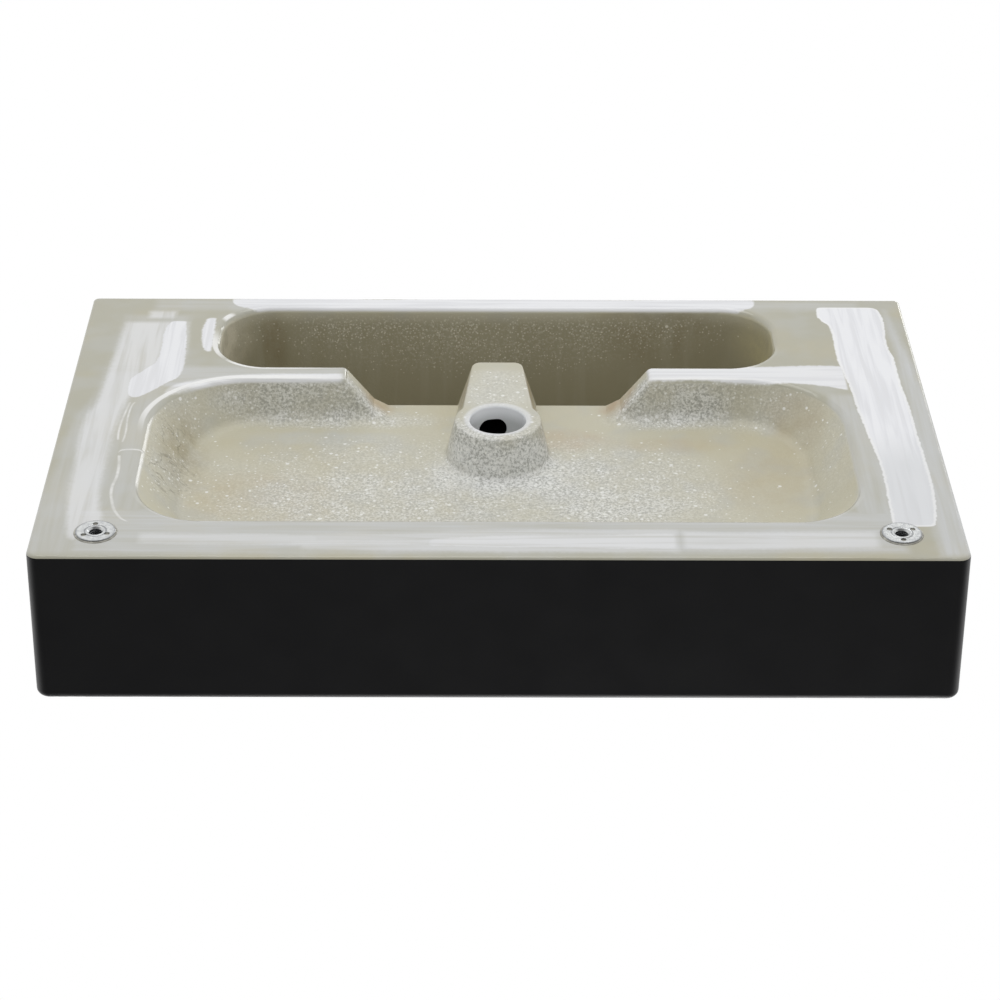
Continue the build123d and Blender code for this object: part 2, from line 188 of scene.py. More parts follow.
floor_mesh = bpy.data.meshes.new("floor")
floor_corners = [(right * FLOOR_HALF, back * FLOOR_HALF, -FLOOR_GAP)
                 for right, back in ((-1, -1), (1, -1), (1, 1), (-1, 1))]
floor_mesh.from_pydata(floor_corners, [], [(0, 1, 2, 3)])
floor = bpy.data.objects.new("floor", floor_mesh)
scene.collection.objects.link(floor)
floor.visible_diffuse = floor.visible_glossy = floor.visible_transmission = floor.visible_shadow = False

floor_paint = bpy.data.materials.new("studio_floor")
floor_paint.use_nodes = True
ground = floor_paint.node_tree
ground.nodes.clear()
ground_place = add_node(ground, "ShaderNodeTexCoord")
from_middle = add_node(ground, "ShaderNodeVectorMath", {
    0: ground_place.outputs["Object"]}, operation="LENGTH")
fade = add_node(ground, "ShaderNodeMapRange", {
    0: from_middle.outputs["Value"], 1: FLOOR_SOLID, 2: FLOOR_CLEAR}, interpolation_type="SMOOTHSTEP")
side = add_node(ground, "ShaderNodeNewGeometry")
hidden = add_node(ground, "ShaderNodeMath", {0: side.outputs["Backfacing"], 1: fade}, operation="MAXIMUM")
paint = add_node(ground, "ShaderNodeBsdfDiffuse", {"Color": linear("#F4F4F4")})
clear = add_node(ground, "ShaderNodeBsdfTransparent")
blend = add_node(ground, "ShaderNodeMixShader", {0: hidden, 1: paint, 2: clear})
add_node(ground, "ShaderNodeOutputMaterial", {"Surface": blend})
floor_mesh.materials.append(floor_paint)
print("floor", 2 * FLOOR_HALF, "m across")

# %% [markdown]
# The ware is fireclay: a pale buff body, fired once. On the underside the maker wiped clear
# and white glaze over the flat frame with a broad brush, and drops of white glaze fell as
# spray into the pockets. So the frame is glossy with white strokes, the pockets are dull and
# speckled, and the deep pocket, which little glaze reached, keeps the olive of the bare body,
# painted darker still as painted shade in that deep recess.
# All of it is one material on one casting, painted by place. Left and right in the comments
# are those of the photograph, where the ware is upside down and its left is the +X side.

# %% Fireclay: places in millimetres
fireclay = bpy.data.materials.new("glaze_brushed_fireclay")
fireclay.use_nodes = True
ware = fireclay.node_tree
body = ware.nodes["Principled BSDF"]
coordinates = add_node(ware, "ShaderNodeTexCoord")
place = add_node(ware, "ShaderNodeVectorMath", {
    0: coordinates.outputs["Object"], "Scale": 1 / MM}, operation="SCALE")
x, y, z = add_node(ware, "ShaderNodeSeparateXYZ", {0: place}).outputs
level_place = add_node(ware, "ShaderNodeCombineXYZ", {"X": x, "Y": y})
print("sockets", x.name, y.name, z.name)

# %% Fireclay: how a fact about place becomes a mask
SPOT_CORE = 0.4             # the share of a soft spot's reach that is full


def mask(tree, *terms):
    """The product of strengths, masks and (value, start, end), which rises from 0 to 1 between the two."""
    product = None
    for term in terms:
        if isinstance(term, tuple):
            term = add_node(tree, "ShaderNodeMapRange", dict(enumerate(term)),
                            interpolation_type="SMOOTHSTEP")
        product = term if product is None else add_node(
            tree, "ShaderNodeMath", {0: product, 1: term}, operation="MULTIPLY")
    return product


def near(centre, reach):
    """1 round a place, fading to 0 at reach, both in mm along X, Y and Z."""
    away = add_node(ware, "ShaderNodeVectorMath", {0: place, 1: centre}, operation="SUBTRACT")
    away = add_node(ware, "ShaderNodeVectorMath", {0: away, 1: reach}, operation="DIVIDE")
    length = add_node(ware, "ShaderNodeVectorMath", {0: away}, operation="LENGTH").outputs["Value"]
    return mask(ware, (length, 1.0, SPOT_CORE))


print("soft spots are full to", SPOT_CORE, "of their reach")


# %% Fireclay: the outline of a brush stroke
CORNER_BLEND_MM = 6.0       # over which two edges of a stroke melt into a round corner


def edge_curve(along, points):
    """A smooth line through (along, across) points in mm: gives across for along."""
    starts, values = [p[0] for p in points], [p[1] for p in points]
    first, last = min(starts), max(starts)
    low, high = min(values) - 1, max(values) + 1
    portion = add_node(ware, "ShaderNodeMapRange", {0: along, 1: first, 2: last})
    curve = add_node(ware, "ShaderNodeFloatCurve", {"Value": portion})
    line = curve.mapping.curves[0]
    spots = sorted(((a - first) / (last - first), (b - low) / (high - low)) for a, b in points)
    line.points[0].location, line.points[1].location = spots[0], spots[-1]
    for spot in spots[1:-1]:
        line.points.new(*spot)
    curve.mapping.update()
    return add_node(ware, "ShaderNodeMapRange", {0: curve, 1: 0.0, 2: 1.0, 3: low, 4: high})


def inside(along, across, low_edge, high_edge):
    """How far inside a brush stroke a place is, in mm; it is negative outside."""
    start = float(max(low_edge[0][0], high_edge[0][0]))
    end = float(min(low_edge[-1][0], high_edge[-1][0]))
    low_line, high_line = edge_curve(along, low_edge), edge_curve(along, high_edge)
    depth = None
    for a, b in ((across, low_line), (high_line, across), (along, start), (end, along)):
        other = add_node(ware, "ShaderNodeMath", {0: a, 1: b}, operation="SUBTRACT")
        depth = other if depth is None else add_node(
            ware, "ShaderNodeMath", {0: depth, 1: other, 2: CORNER_BLEND_MM}, operation="SMOOTH_MIN")
    return depth


def outside_mouth(mouth):
    """How far outside the edge of a pocket's mouth a place is, in mm, measured level."""
    centre = (0, (mouth["front"] + mouth["rear"]) / 2, 0)
    half_depth = (mouth["rear"] - mouth["front"]) / 2
    straight = (mouth["half"] - mouth["corner"], half_depth - mouth["corner"], 0)
    away = add_node(ware, "ShaderNodeVectorMath", {0: level_place, 1: centre}, operation="SUBTRACT")
    away = add_node(ware, "ShaderNodeVectorMath", {0: away}, operation="ABSOLUTE")
    past = add_node(ware, "ShaderNodeVectorMath", {0: away, 1: straight}, operation="SUBTRACT")
    past = add_node(ware, "ShaderNodeVectorMath", {0: past, 1: (0, 0, 0)}, operation="MAXIMUM")
    length = add_node(ware, "ShaderNodeVectorMath", {0: past}, operation="LENGTH").outputs["Value"]
    return add_node(ware, "ShaderNodeMath", {0: length, 1: mouth["corner"]}, operation="SUBTRACT")


print("a stroke's corners are round over", CORNER_BLEND_MM, "mm")

# %% [markdown]
# Zones come first. Height above the underside tells the flat frame from the pockets, and the
# distance from the drain tells the bore. The outlines of the two pockets' mouths repeat the
# part's own sizes, and say where the deep pocket and the lips are.

# %% Fireclay: zones
LIP_START_MM = 2.0          # above the underside, where the rolled lips turn into the pockets
LIP_END_MM = 5.0
DEEP_MOUTH_MM = {"half": 249.0, "front": 96.0, "rear": 210.0, "corner": 45.0}
BOWL_MOUTH_MM = {"half": 300.0, "front": -172.0, "rear": 70.0, "corner": 80.0}
BORE_GLAZE_RADIUS_MM = 25.6
REAR_START_MM = 99.0        # behind this the deep pocket has a spray of its own

in_pocket = mask(ware, (z, underside_mm + LIP_START_MM, underside_mm + LIP_END_MM))
on_frame = add_node(ware, "ShaderNodeMath", {0: 1.0, 1: in_pocket}, operation="SUBTRACT")
ahead_of_rear = mask(ware, (y, REAR_START_MM, REAR_START_MM - 7))
deep = mask(ware, (y, DEEP_MOUTH_MM["front"], DEEP_MOUTH_MM["front"] + 3),
            (y, DEEP_MOUTH_MM["rear"] + 8, DEEP_MOUTH_MM["rear"] + 6),
            (z, underside_mm + 3, underside_mm + 20))
from_drain = add_node(ware, "ShaderNodeVectorMath", {
    0: level_place, 1: (drain_mm[0], drain_mm[1], 0)}, operation="DISTANCE").outputs["Value"]
in_bore = mask(ware, (from_drain, BORE_GLAZE_RADIUS_MM, BORE_GLAZE_RADIUS_MM - 1.5),
               (z, underside_mm + 3, underside_mm + 5))
outside_deep = outside_mouth(DEEP_MOUTH_MM)
outside_bowl = outside_mouth(BOWL_MOUTH_MM)
print("zones made")

# %% Fireclay: painted shadow inside the overflow's duct
DUCT_MIDDLE_X_MM = 4.0
DUCT_HALF_MM = 12.8         # a little more than half the duct's width
DUCT_HEIGHTS_MM = (17.9, 35.9)
DUCT_START_MM = 24.8        # from the drain's axis, just past the wall of the bore
DUCT_END_Y_MM = 106.0

# the duct is painted near black: a painted shadow inside the tunnel, where little light reaches
duct_side = add_node(ware, "ShaderNodeMath", {
    0: x, 1: DUCT_MIDDLE_X_MM, 2: DUCT_HALF_MM}, operation="COMPARE")
in_duct = mask(
    ware, duct_side, (from_drain, DUCT_START_MM - 0.4, DUCT_START_MM),
    (y, drain_mm[1] + 10, drain_mm[1] + 12), (y, DUCT_END_Y_MM + 2, DUCT_END_Y_MM),
    (z, DUCT_HEIGHTS_MM[0] - 0.5, DUCT_HEIGHTS_MM[0]), (z, DUCT_HEIGHTS_MM[1] + 0.5, DUCT_HEIGHTS_MM[1]))
print("the duct is dark from", DUCT_HEIGHTS_MM[0], "to", DUCT_HEIGHTS_MM[1], "mm")

# %% [markdown]
# The body isn't one colour. Wide clouds of it fired a warmer buff, and a thin cast of glaze
# greys it in smaller ones. The scale of a noise is one over the size of its clouds, so that
# size, in mm, is what the script names here and below.

# %% Fireclay: the fired body's own colour
CLOUD_MM = 91.0
DRIFT_MM = 41.7
FRAME_BUFF = linear("#B5B3A2")
# the bare body's olive, painted darker as painted shade deep in the deep pocket
POCKET_BUFF = linear("#C9C5B0")
DEEP_OLIVE_AND_SHADE = linear("#AAA48C")
BLUSH = linear("#C2B998")
GREY_CAST = linear("#BDBEB8")

cloud = add_node(ware, "ShaderNodeTexNoise", {"Vector": place, "Scale": 1 / CLOUD_MM, "Detail": 3.0})
drift = add_node(ware, "ShaderNodeTexNoise", {"Vector": place, "Scale": 1 / DRIFT_MM, "Detail": 2.0})
tint = add_node(ware, "ShaderNodeMixRGB", {0: in_pocket, 1: FRAME_BUFF, 2: POCKET_BUFF})
for cover, colour in ((mask(ware, (cloud, 0.48, 0.68), 0.35), BLUSH),
                      (mask(ware, (drift, 0.45, 0.7), 0.45), GREY_CAST), (deep, DEEP_OLIVE_AND_SHADE)):
    tint = add_node(ware, "ShaderNodeMixRGB", {0: cover, 1: tint, 2: colour})
print("body colours", [round(c, 3) for c in FRAME_BUFF[:3]])

# %% [markdown]
# Iron and damp left brownish smudges round the ribs' feet and beside the boss. The two ends of
# the deep pocket are painted paler: painted light on their curved walls. Each is a soft spot
# broken up by noise.

# %% Fireclay: smudges, and painted light on the deep pocket's ends
MOTTLE_MM = 16.67
SMUDGES_AND_LIT_ENDS = [
    # centre and reach in mm, colour, strength
    ((-60, 30, 40), (46, 26, 14), "#BEA584", 0.40),
    ((-150, 22, 40), (70, 18, 12), "#BFAE8C", 0.35),
    ((-108, 84, 30), (26, 22, 26), "#AE9270", 0.65),
    ((108, 86, 32), (24, 20, 24), "#B4986E", 0.55),
    ((150, 34, 40), (90, 16, 12), "#C6C8C4", 0.55),
    ((-42, 2, 22), (12, 34, 22), "#A8935E", 0.60),
    ((200, -70, 42), (90, 60, 14), "#BFB08F", 0.45),
    ((-235, -40, 42), (60, 80, 16), "#B8AC8C", 0.40),
    ((268, -10, 24), (30, 70, 34), "#A3966F", 0.65),
    ((-262, 40, 24), (40, 50, 30), "#AE9F80", 0.45),
    # painted light: the deep pocket's -X end, painted paler
    ((-230, 152, 30), (36, 68, 50), "#C9C197", 1.0),
    ((-150, 200, 20), (80, 30, 60), "#9A9075", 0.60),
    # painted light: the deep pocket's +X end, painted paler where light falls on its curved wall
    ((240, 152, 26), (36, 70, 50), "#E2DCC8", 1.0),
    ((206, 190, 40), (20, 40, 60), "#8F8263", 0.60),
    ((-29, 66, 20), (9, 46, 22), "#A08A5E", 0.75),
    ((29, 66, 20), (9, 46, 22), "#A08A5E", 0.55),
    ((0, 55, 5), (50, 60, 9), "#D9D8CC", 0.65),
]
mottle = add_node(ware, "ShaderNodeTexNoise", {
    "Vector": place, "Scale": 1 / MOTTLE_MM, "Detail": 4.0, "Roughness": 0.65})
broken = add_node(ware, "ShaderNodeMapRange", {0: mottle, 1: 0.38, 2: 0.62, 3: 0.45, 4: 1.0})
for centre, reach, colour, strength in SMUDGES_AND_LIT_ENDS:
    tint = add_node(ware, "ShaderNodeMixRGB", {
        0: mask(ware, near(centre, reach), broken, in_pocket, strength), 1: tint, 2: linear(colour)})
print(len(SMUDGES_AND_LIT_ENDS), "smudges")

# %% Fireclay: hairlines on the bowl pocket's left wall, and runs down the deep pocket
HAIRLINE_SPOT_MM = ((280, -35, 24), (34, 80, 34))
CRACKLE_MM = (33.33, 20.0, 50.0)
RUN_MM = (11.11, 20.0, 125.0)
HAIRLINE_BROWN = linear("#7E765A")
RUN_GREY = linear("#B3AF9B")

crackle = add_node(ware, "ShaderNodeTexNoise", {
    "Vector": add_node(ware, "ShaderNodeVectorMath", {0: place, 1: CRACKLE_MM}, operation="DIVIDE"),
    "Scale": 1.0, "Detail": 3.0, "Distortion": 1.2})
hairline = add_node(ware, "ShaderNodeMath", {0: crackle, 1: 0.5, 2: 0.016}, operation="COMPARE")
runs = add_node(ware, "ShaderNodeTexNoise", {
    "Vector": add_node(ware, "ShaderNodeVectorMath", {0: place, 1: RUN_MM}, operation="DIVIDE"),
    "Scale": 1.0, "Detail": 3.0})
for cover, colour in ((mask(ware, hairline, near(*HAIRLINE_SPOT_MM), broken, 0.85), HAIRLINE_BROWN),
                      (mask(ware, (runs, 0.48, 0.68), deep, 0.4), RUN_GREY)):
    tint = add_node(ware, "ShaderNodeMixRGB", {0: cover, 1: tint, 2: colour})
print("hairlines and runs laid")

# %% [markdown]
# The spray is dense, so two kinds of pattern share it. A fine grain of light and dark, cut
# from noise, is the mist that merged as it landed. Single drops come in three sizes from cell
# patterns: a cell's own random number says whether it holds a drop and how large that is.
# How much of either there is comes from one map of where the spray fell.

# %% Fireclay: where the spray fell
PATCH_MM = 28.57
SPRAY = [
    # centre and reach in mm, how dense
    ((34, -68, 40), (300, 135, 50), 0.38),
    ((-95, -60, 40), (112, 110, 50), 0.26),
    ((96, -80, 40), (120, 70, 50), 0.27),
    ((0, -22, 22), (74, 58, 46), 0.70),
    ((150, 66, 20), (150, 26, 40), 0.72),
    ((-145, 66, 20), (75, 26, 40), 0.85),
    ((-225, 62, 20), (95, 30, 40), 0.28),
    ((285, 0, 20), (50, 130, 44), 0.20),
    ((0, 60, 3), (40, 60, 8), 0.42),
    ((-290, 0, 20), (45, 150, 44), 0.12),
]
patchy = add_node(ware, "ShaderNodeTexNoise", {"Vector": place, "Scale": 1 / PATCH_MM, "Detail": 2.0})
patches = add_node(ware, "ShaderNodeMapRange", {0: patchy, 1: 0.35, 2: 0.65, 3: 0.65, 4: 1.25})
share = 0.02                # this much fell everywhere, and each place adds to it
for centre, reach, dense in SPRAY:
    share = add_node(ware, "ShaderNodeMath", {
        0: near(centre, reach), 1: dense, 2: share}, operation="MULTIPLY_ADD")
share = add_node(ware, "ShaderNodeMath", {
    0: mask(ware, share, patches, in_pocket, ahead_of_rear), 1: 1.0}, operation="MINIMUM")
print(len(SPRAY), "places of spray")


# %% Fireclay: drops of sprayed glaze
def drops(cell_mm, radius_mm, density, plenty):
    """Drops in cells of a given size: 1 inside each, 0 between them."""
    largest = radius_mm / cell_mm
    cells = add_node(ware, "ShaderNodeTexVoronoi", {"Vector": place, "Scale": 1 / cell_mm})
    luck = add_node(ware, "ShaderNodeSeparateColor", {0: cells.outputs["Color"]})
    odds = add_node(ware, "ShaderNodeMath", {0: density, 1: plenty}, operation="MULTIPLY")
    chosen = add_node(ware, "ShaderNodeMath", {0: luck.outputs[0], 1: odds}, operation="LESS_THAN")
    size = add_node(ware, "ShaderNodeMapRange", {0: luck.outputs[1], 3: largest * 0.5, 4: largest})
    reach = add_node(ware, "ShaderNodeMath", {0: cells.outputs["Distance"], 1: size}, operation="DIVIDE")
    return mask(ware, (reach, 1.0, 0.55), chosen)


GRAIN_MM = 2.5
STRAY = 0.06                # a few large drops fell anywhere in the pockets
stray_share = add_node(ware, "ShaderNodeMath", {0: share, 1: STRAY}, operation="ADD")
mist = drops(2.8, 1.3, share, 1.1)
spray = drops(6.0, 2.1, share, 0.9)
blobs = drops(13.0, 2.3, stray_share, 0.9)
grain = add_node(ware, "ShaderNodeTexNoise", {
    "Vector": place, "Scale": 1 / GRAIN_MM, "Detail": 2.0, "Roughness": 0.75})
light_grain = mask(ware, (grain, 0.52, 0.60), share)
dark_grain = mask(ware, (grain, 0.49, 0.40), share)
print("drops 3 to 13 mm apart, over a grain of", GRAIN_MM, "mm")

# %% Fireclay: spray over the body colour
BOSS_BLOOM_MM = ((0, -24, 32), (78, 56, 28))     # here the spray lies thickest
DUST_GREY = linear("#D4D6D5")
BLOOM_WHITE = linear("#F4F6F8")
PIT_GREY = linear("#92928B")
DROP_WHITE = linear("#F6F6F3")
BLOB_CREAM = linear("#F4F4EE")

coat = tint
for cover, colour in (
        (mask(ware, share, 0.7), DUST_GREY),
        (mask(ware, near(*BOSS_BLOOM_MM), 0.33), BLOOM_WHITE),
        (mask(ware, dark_grain, 0.6), PIT_GREY),
        (mask(ware, light_grain, 0.6), DROP_WHITE),
        (mask(ware, mist, 0.55), DROP_WHITE),
        (mask(ware, spray, 0.75), DROP_WHITE),
        (mask(ware, blobs, in_pocket, ahead_of_rear, 0.85), BLOB_CREAM)):
    coat = add_node(ware, "ShaderNodeMixRGB", {0: cover, 1: coat, 2: colour})
print("spray laid")

# %% Fireclay: spray down the rear wall of the deep pocket
DEEP_SPRAY_MM = ((10, 210, 0), (290, 60, 84))
DEEP_DROP_CREAM = linear("#F4F2E6")

deep_share = mask(ware, near(*DEEP_SPRAY_MM), patches, 0.75)
for fallen, strength in (
        (mask(ware, (grain, 0.52, 0.62), deep_share), 0.3),
        (drops(2.7, 1.2, deep_share, 1.3), 0.5),
        (drops(5.2, 1.5, deep_share, 0.8), 0.65),
        (drops(18.0, 2.4, deep_share, 0.6), 0.8)):
    coat = add_node(ware, "ShaderNodeMixRGB", {
        0: mask(ware, fallen, deep, strength), 1: coat, 2: DEEP_DROP_CREAM})
print("deep pocket sprayed")

# %% [markdown]
# The brushed glaze is strokes. A stroke is the space between two edges, each a smooth line
# through a few points, which wander as a hand does and fray a little. Fine streaks run along
# it, from noise stretched the way the brush went. Films are thin and let the body through.
# Strokes are thick, and along the edges of the sharpest glaze gathered as a paler rim. Some
# strokes paint light as well: the left rail's marks are white glaze partly and a painted
# reflection of a window partly, and the white on the left rib's top is a painted highlight.

# %% Fireclay: how the brush moved
WANDER_MM = (71.4, 3.0)     # how long the waves of an edge are, and how far they go
FRAY_MM = (3.33, 1.3)
STREAK_MM = {"side": (7.14, 125.0, 20.0), "front": (166.7, 6.67, 20.0)}

edge_mm = 0.0
for (size, amount), detail in ((WANDER_MM, 0.0), (FRAY_MM, 1.0)):
    wave = add_node(ware, "ShaderNodeTexNoise", {"Vector": place, "Scale": 1 / size, "Detail": detail})
    swing = add_node(ware, "ShaderNodeMapRange", {0: wave, 3: -amount, 4: amount})
    edge_mm = add_node(ware, "ShaderNodeMath", {0: edge_mm, 1: swing}, operation="ADD")
BRUSHED = {}
for way, along, level_axis in (("side", y, x), ("front", x, y)):
    stretched = add_node(ware, "ShaderNodeVectorMath", {0: place, 1: STREAK_MM[way]}, operation="DIVIDE")
    streak = add_node(ware, "ShaderNodeTexNoise", {
        "Vector": stretched, "Scale": 1.0, "Detail": 2.0, "Roughness": 0.6, "Distortion": 0.4})
    across = add_node(ware, "ShaderNodeMath", {0: level_axis, 1: edge_mm}, operation="ADD")
    BRUSHED[way] = (along, across, streak)
print("brush ways", list(BRUSHED))

# %% Fireclay: films of thin glaze
FILM_GREY = linear("#D2D4D6")
FILMS = [
    # way, low edge, high edge, strength
    ("side", [(-230, 280), (-60, 284), (92, 284)],
     [(-230, 384), (-144, 382), (-71, 372), (0, 366), (27, 358), (92, 350)], 0.38),
    ("side", [(80, 270), (200, 274)], [(80, 352), (140, 348), (200, 346)], 0.30),
    ("side", [(-180, -338), (-40, -326), (50, -318)], [(-180, -284), (-40, -280), (50, -284)], 0.45),
    ("side", [(-230, -386), (-60, -384), (214, -362)], [(-230, -344), (-60, -348), (214, -352)], 0.66),
    ("front", [(-330, -226), (-100, -227), (345, -229)], [(-330, -150), (-100, -150), (345, -150)], 0.58),
    ("front", [(130, 62), (220, 58), (300, 44)], [(130, 98), (220, 97), (300, 104)], 0.60),
    ("front", [(-340, 200), (0, 200), (320, 198)], [(-340, 232), (0, 232), (320, 232)], 0.35),
]
film = 0.0
for way, low_edge, high_edge, strength in FILMS:
    along, across, streak = BRUSHED[way]
    cover = mask(ware, (inside(along, across, low_edge, high_edge), 0.0, 12.0))
    uneven = add_node(ware, "ShaderNodeMapRange", {0: streak, 1: 0.3, 2: 0.65, 3: 0.6, 4: 1.2})
    film = add_node(ware, "ShaderNodeMath", {
        0: film, 1: mask(ware, cover, uneven, strength)}, operation="MAXIMUM")
film = mask(ware, film, on_frame)
coat = add_node(ware, "ShaderNodeMixRGB", {0: film, 1: coat, 2: FILM_GREY})
print(len(FILMS), "films")

# %% Fireclay: where the strokes of white glaze, painted reflection and painted highlight run
STROKES_AND_REFLECTIONS = [
    # way, low edge, high edge, strength, how far in mm its edge fades
    # the right rail's broad band
    ("side",
     [(-180, -350), (-137, -357), (-37, -358), (53, -355),
      (113, -354), (132, -352), (184, -355), (214, -345)],
     [(-180, -316), (-88, -317), (-20, -313), (49, -308),
      (109, -304), (174, -302), (198, -294), (214, -296)], 1.0, 1.5),
    # the left rail's soft ones, and the bent one between the two pockets: glaze and painted reflection
    ("side",
     [(-206, 325), (-168, 315), (-153, 319), (-99, 323), (-56, 322),
      (18, 318), (34, 316), (60, 303), (100, 290)],
     [(-206, 336), (-187, 350), (-144, 354), (-71, 356),
      (-6, 357), (27, 351), (60, 348), (100, 346)], 0.56, 8.0),
    ("side", [(86, 282), (101, 276), (184, 276)], [(86, 349), (101, 346), (184, 342)], 0.58, 9.0),
    ("side", [(34, 312), (45, 302), (60, 291), (83, 277), (129, 278), (183, 280)],
     [(34, 318), (56, 324), (88, 312), (104, 304), (129, 303), (162, 302), (183, 296)], 0.92, 2.5),
    ("side", [(184, 290), (206, 289)], [(184, 322), (206, 323)], 0.55, 8.0),
    ("side", [(120, 256), (154, 255), (190, 255)], [(120, 261), (154, 268), (190, 264)], 0.95, 2.5),
    # the front strip: a wide thin pass, brighter cores, and an end at each side
    ("front", [(-146, -224), (15, -222), (160, -219)], [(-146, -182), (15, -185), (160, -189)], 0.27, 6.0),
    ("front", [(-144, -218), (0, -216), (60, -214)], [(-144, -188), (0, -192), (60, -198)], 0.60, 6.0),
    ("front", [(30, -212), (170, -211)], [(30, -198), (170, -199)], 0.42, 5.0),
    ("front", [(140, -213), (290, -211)], [(140, -189), (290, -190)], 0.34, 7.0),
    ("front", [(-306, -216), (-200, -218), (-143, -218)],
     [(-306, -182), (-200, -184), (-143, -184)], 0.44, 8.0),
    # the rear strip, and the tops of the two ribs
    ("front", [(-240, 222), (-222, 206), (0, 205), (218, 206), (246, 227)],
     [(-240, 229), (0, 230), (246, 230)], 0.92, 3.0),
    ("front", [(-308, 50), (-270, 62), (-240, 66), (-131, 70)],
     [(-308, 98), (-250, 98), (-131, 97)], 0.90, 3.0),
    # the left rib's top, at +X: a painted highlight where its lip catches the light
    ("front", [(134, 66), (200, 64), (248, 56), (292, 28)],
     [(134, 84), (200, 82), (248, 76), (292, 50)], 0.80, 6.0),
]
print(len(STROKES_AND_REFLECTIONS), "strokes")

# %% Fireclay: strokes of white glaze, painted reflection and painted highlight
RIM_MM = (2.0, 4.0)         # inside the edge: where a paler rim starts to fade, and where it ends
SHARP_MM = 2.0              # only a stroke whose edge fades within this has such a rim
SOFT_MM = 4.0               # and one whose edge fades over more than this is thin between its streaks

white = 0.0
shade = 0.0
rim = 0.0
for way, low_edge, high_edge, strength, fading in STROKES_AND_REFLECTIONS:
    along, across, streak = BRUSHED[way]
    depth = inside(along, across, low_edge, high_edge)
    thinnest = 0.6 if fading > SOFT_MM else 0.92
    thick = add_node(ware, "ShaderNodeMapRange", {0: streak, 1: 0.30, 2: 0.50, 3: thinnest, 4: 1.0})
    laid = mask(ware, (depth, 0.0, fading), thick, strength)
    streaked = mask(ware, laid, (streak, 0.60, 0.40))
    white = add_node(ware, "ShaderNodeMath", {0: white, 1: laid}, operation="MAXIMUM")
    shade = add_node(ware, "ShaderNodeMath", {0: shade, 1: streaked}, operation="MAXIMUM")
    if fading < SHARP_MM:
        edge = mask(ware, (depth, 0.0, fading), (depth, RIM_MM[1], RIM_MM[0]), strength)
        rim = add_node(ware, "ShaderNodeMath", {0: rim, 1: edge}, operation="MAXIMUM")
white = mask(ware, white, on_frame)
rim = mask(ware, rim, on_frame)
print("strokes painted, those that fade within", SHARP_MM, "mm with a rim")

# %% [markdown]
# Where two strokes met on the left rail, glaze gathered into thin raised lines: their relief is
# a bead of glaze, and their white is a painted highlight along it. Along the pockets' lips a
# bright thread is painted: a painted highlight where the rolled lips catch the light. These are
# drawn as lines of one width: some through a few points, and the others along a pocket's mouth.

# %% Fireclay: raised lines, painted white as highlights
LINES = [
    # way, points as (along, across) in mm, width
    ("side", [(-40, 321), (-23, 322), (9, 320), (26, 318)], 1.5),
    ("side", [(-44, 317), (-29, 316), (2, 317), (26, 314)], 1.2),
    ("side", [(-174, 299), (-163, 308), (-145, 314), (-122, 317), (-99, 315), (-67, 317)], 2.2),
    ("front", [(298, -58), (312, -57), (318, -61)], 2.0),
]
lines = 0.0
# each line's white is a painted highlight on a raised bead
for way, points, width in LINES:
    along, across = (y, x) if way == "side" else (x, y)
    middle = edge_curve(along, points)
    off_line = add_node(ware, "ShaderNodeMath", {0: across, 1: middle}, operation="SUBTRACT")
    off_line = add_node(ware, "ShaderNodeMath", {0: off_line}, operation="ABSOLUTE")
    first, last = points[0][0], points[-1][0]
    strand = mask(ware, (off_line, width / 2 + 0.9, width / 2 - 0.7),
                  (along, first - 1, first + 1), (along, last + 1, last - 1), broken, 0.8)
    lines = add_node(ware, "ShaderNodeMath", {0: lines, 1: strand}, operation="MAXIMUM")
print(len(LINES), "lines")

# %% Fireclay: painted highlights on the lips
LIP_HIGHLIGHT_MM = (1.5, 3.0, 6.5, 8.0)     # outside the mouth: from where to where it rises and falls
LIP_HIGHLIGHTS = [
    # which mouth, centre and reach in mm, strength
    (outside_bowl, (290, 40, 2), (36, 80, 30), 0.9),
    (outside_bowl, (220, 68, 2), (120, 18, 30), 0.9),
    (outside_bowl, (-180, 70, 2), (80, 8, 30), 0.7),
    (outside_deep, (196, 98, 2), (80, 14, 30), 1.0),
    (outside_deep, (262, 128, 2), (26, 44, 30), 0.9),
    (outside_deep, (244, 190, 2), (10, 10, 12), 1.0),
    (outside_deep, (-180, 96, 2), (70, 8, 30), 0.8),
]
for outside, centre, reach, strength in LIP_HIGHLIGHTS:
    lip_highlight = mask(ware, (outside, LIP_HIGHLIGHT_MM[3], LIP_HIGHLIGHT_MM[2]), (outside, LIP_HIGHLIGHT_MM[0], LIP_HIGHLIGHT_MM[1]),
                near(centre, reach), strength)
    lines = add_node(ware, "ShaderNodeMath", {0: lines, 1: lip_highlight}, operation="MAXIMUM")
print(len(LIP_HIGHLIGHTS), "lips")

# %% Fireclay: white glaze and painted highlights over the frame, painted shade in the drain and the overflow
LOW_BAND_MM = ((-338, -130, 0), (60, 120, 20))     # here the right band thins out
# the white of the glaze strokes, and of the painted reflections and highlights among them
GLAZE_AND_REFLECTION_WHITE = linear("#F4F5F8")
GLAZE_AND_REFLECTION_STREAK = linear("#EAEBEF")
THIN_WHITE = linear("#DBDDDF")
RIM_WHITE = linear("#F9F9F8")
# painted highlight: the white of the raised lines and of the lips' bright thread
HIGHLIGHT_WHITE = linear("#FAFAF8")
RINSED_WHITE = linear("#E9EBEF")
BORE_WHITE = linear("#EEF0F2")
BORE_PAINTED_SHADE = linear("#C4C6C5")
# painted shadow inside the overflow's duct
DUCT_PAINTED_SHADOW = linear("#0C0C0E")

